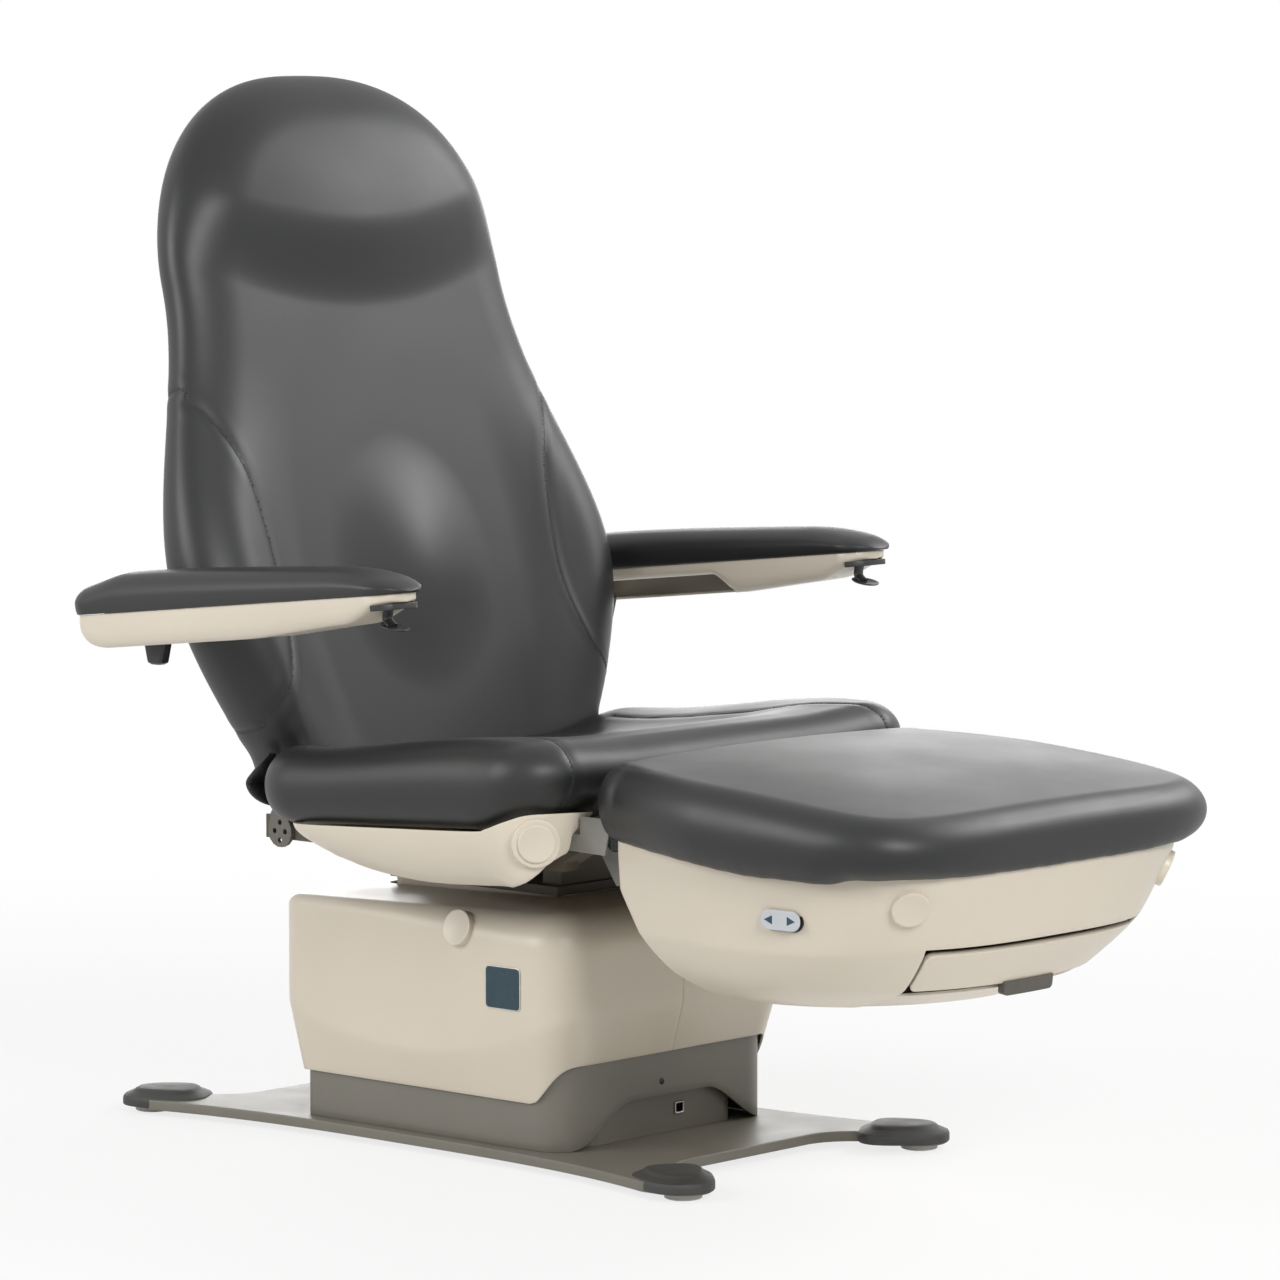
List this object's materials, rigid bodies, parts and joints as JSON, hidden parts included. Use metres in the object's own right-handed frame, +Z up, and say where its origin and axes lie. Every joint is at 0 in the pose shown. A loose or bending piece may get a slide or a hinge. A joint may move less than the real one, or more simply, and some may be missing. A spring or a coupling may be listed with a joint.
{
  "type": "bariatric procedure chair",
  "caption": "Powered procedure chair on a floor plate and lift column, with reclining back, flip-up arms and an extending foot section with a tray.",
  "frame": {"origin": "on the floor, under the middle of the whole chair", "axes": "+Z up, the chair faces -Y, the sitter's right hand is at -X"},
  "size_m": [0.9424, 1.3548, 1.3108],
  "materials": {
    "upholstery": "satin vinyl",
    "cream": "semi-gloss",
    "taupe": "satin",
    "plate": "satin",
    "rubber": "matte",
    "black": "satin",
    "glide": "matte",
    "steel": "satin",
    "bright": "ground",
    "dark": "matte",
    "board": "plain",
    "motor": "matte",
    "badge": "satin",
    "switch": "satin"
  },
  "bodies": {
    "base": {"base_plate": "plate", "foot_cap_front_right": "rubber", "foot_cap_rear_right": "rubber", "foot_cap_front_left": "rubber", "foot_cap_rear_left": "rubber", "levelling_glide_front_right": "glide", "levelling_glide_rear_right": "glide", "levelling_glide_front_left": "glide", "levelling_glide_rear_left": "glide", "pedestal": "taupe", "control_port": "black", "power_inlet": "black", "lift_column_outer": "steel", "lift_motor": "motor", "control_box": "dark", "base_skirt": "taupe", "badge_plate": "badge", "base_cover_right": "cream", "base_cover_left": "cream", "base_cover_cap_right": "cream", "base_cover_cap_left": "cream"},
    "lift_stage": {"lift_column_middle": "cream"},
    "lift_carriage": {"lift_column_inner": "steel", "lift_head": "steel", "tilt_drive": "motor"},
    "seat": {"seat_frame": "steel", "seat_board": "board", "seat_cushion": "upholstery", "seat_side_cover_right": "cream", "seat_side_cover_left": "cream", "pivot_cap_right": "cream", "pivot_cap_left": "cream", "rear_bracket_right": "steel", "rear_bracket_left": "steel", "tilt_axle": "bright", "back_drive": "motor", "foot_drive": "motor"},
    "back": {"back_frame": "steel", "back_panel": "board", "back_cushion": "upholstery", "back_hinge_pin": "bright", "arm_bracket_right": "steel", "arm_bracket_left": "steel"},
    "arm_right": {"arm_pad_right": "upholstery", "arm_housing_right": "cream"},
    "arm_left": {"arm_pad_left": "upholstery", "arm_housing_left": "cream"},
    "lever_right": {"arm_lever_right": "black"},
    "lever_left": {"arm_lever_left": "black"},
    "paddle_right": {"arm_paddle_right": "upholstery"},
    "paddle_left": {"arm_paddle_left": "upholstery"},
    "foot_frame": {"foot_arm_right": "steel", "foot_arm_left": "steel", "foot_axle": "bright"},
    "foot_carriage": {"foot_shell": "cream", "foot_board": "board", "foot_cushion": "upholstery"},
    "foot_tray": {"foot_tray": "cream", "tray_pull": "black"},
    "foot_switch": {"foot_switch": "switch"}
  },
  "joints": [
    {"name": "lift", "type": "slide", "parent": "base", "child": "lift_carriage", "axis": [0, 0, 1], "range_m": [0, 0.4]},
    {"name": "lift_stage_slide", "type": "slide", "parent": "base", "child": "lift_stage", "axis": [0, 0, 1], "range_m": [0, 0.2]},
    {"name": "seat_tilt", "type": "hinge", "parent": "lift_carriage", "child": "seat", "pos_m": [0, 0.25064, 0.355], "axis": [-1, 0, 0], "range_deg": [0, 15]},
    {"name": "back_recline", "type": "hinge", "parent": "seat", "child": "back", "pos_m": [0, 0.41791, 0.41794], "axis": [-1, 0, 0], "range_deg": [0, 75]},
    {"name": "foot_lower", "type": "hinge", "parent": "seat", "child": "foot_frame", "pos_m": [0, -0.13936, 0.424], "axis": [1, 0, 0], "range_deg": [0, 30]},
    {"name": "foot_extend", "type": "slide", "parent": "foot_frame", "child": "foot_carriage", "axis": [0, -1, 0], "range_m": [0, 0.1]},
    {"name": "tray_slide", "type": "slide", "parent": "foot_carriage", "child": "foot_tray", "axis": [0, -1, 0], "range_m": [0, 0.2]},
    {"name": "switch_rock", "type": "hinge", "parent": "foot_carriage", "child": "foot_switch", "pos_m": [-0.28308, -0.45836, 0.356], "axis": [0, 0, 1], "range_deg": [-3, 3], "stiffness_Nm_per_rad": 1},
    {"name": "arm_flip_right", "type": "hinge", "parent": "back", "child": "arm_right", "pos_m": [-0.429, 0.47744, 0.6401], "axis": [-1, 0, 0], "range_deg": [0, 85]},
    {"name": "lever_pull_right", "type": "hinge", "parent": "arm_right", "child": "lever_right", "pos_m": [-0.429, 0.00339, 0.70269], "axis": [1, 0, 0], "range_deg": [0, 15], "stiffness_Nm_per_rad": 2},
    {"name": "paddle_press_right", "type": "hinge", "parent": "arm_right", "child": "paddle_right", "pos_m": [-0.403, 0.43025, 0.62163], "axis": [1, 0, 0], "range_deg": [0, 20], "stiffness_Nm_per_rad": 1},
    {"name": "arm_flip_left", "type": "hinge", "parent": "back", "child": "arm_left", "pos_m": [0.429, 0.47744, 0.6401], "axis": [-1, 0, 0], "range_deg": [0, 85]},
    {"name": "lever_pull_left", "type": "hinge", "parent": "arm_left", "child": "lever_left", "pos_m": [0.429, 0.00339, 0.70269], "axis": [1, 0, 0], "range_deg": [0, 15], "stiffness_Nm_per_rad": 2},
    {"name": "paddle_press_left", "type": "hinge", "parent": "arm_left", "child": "paddle_left", "pos_m": [0.403, 0.43025, 0.62163], "axis": [1, 0, 0], "range_deg": [0, 20], "stiffness_Nm_per_rad": 1}
  ],
  "couplings": [
    {"joint": "lift_stage_slide", "follows": "lift", "ratio": 0.5}
  ]
}
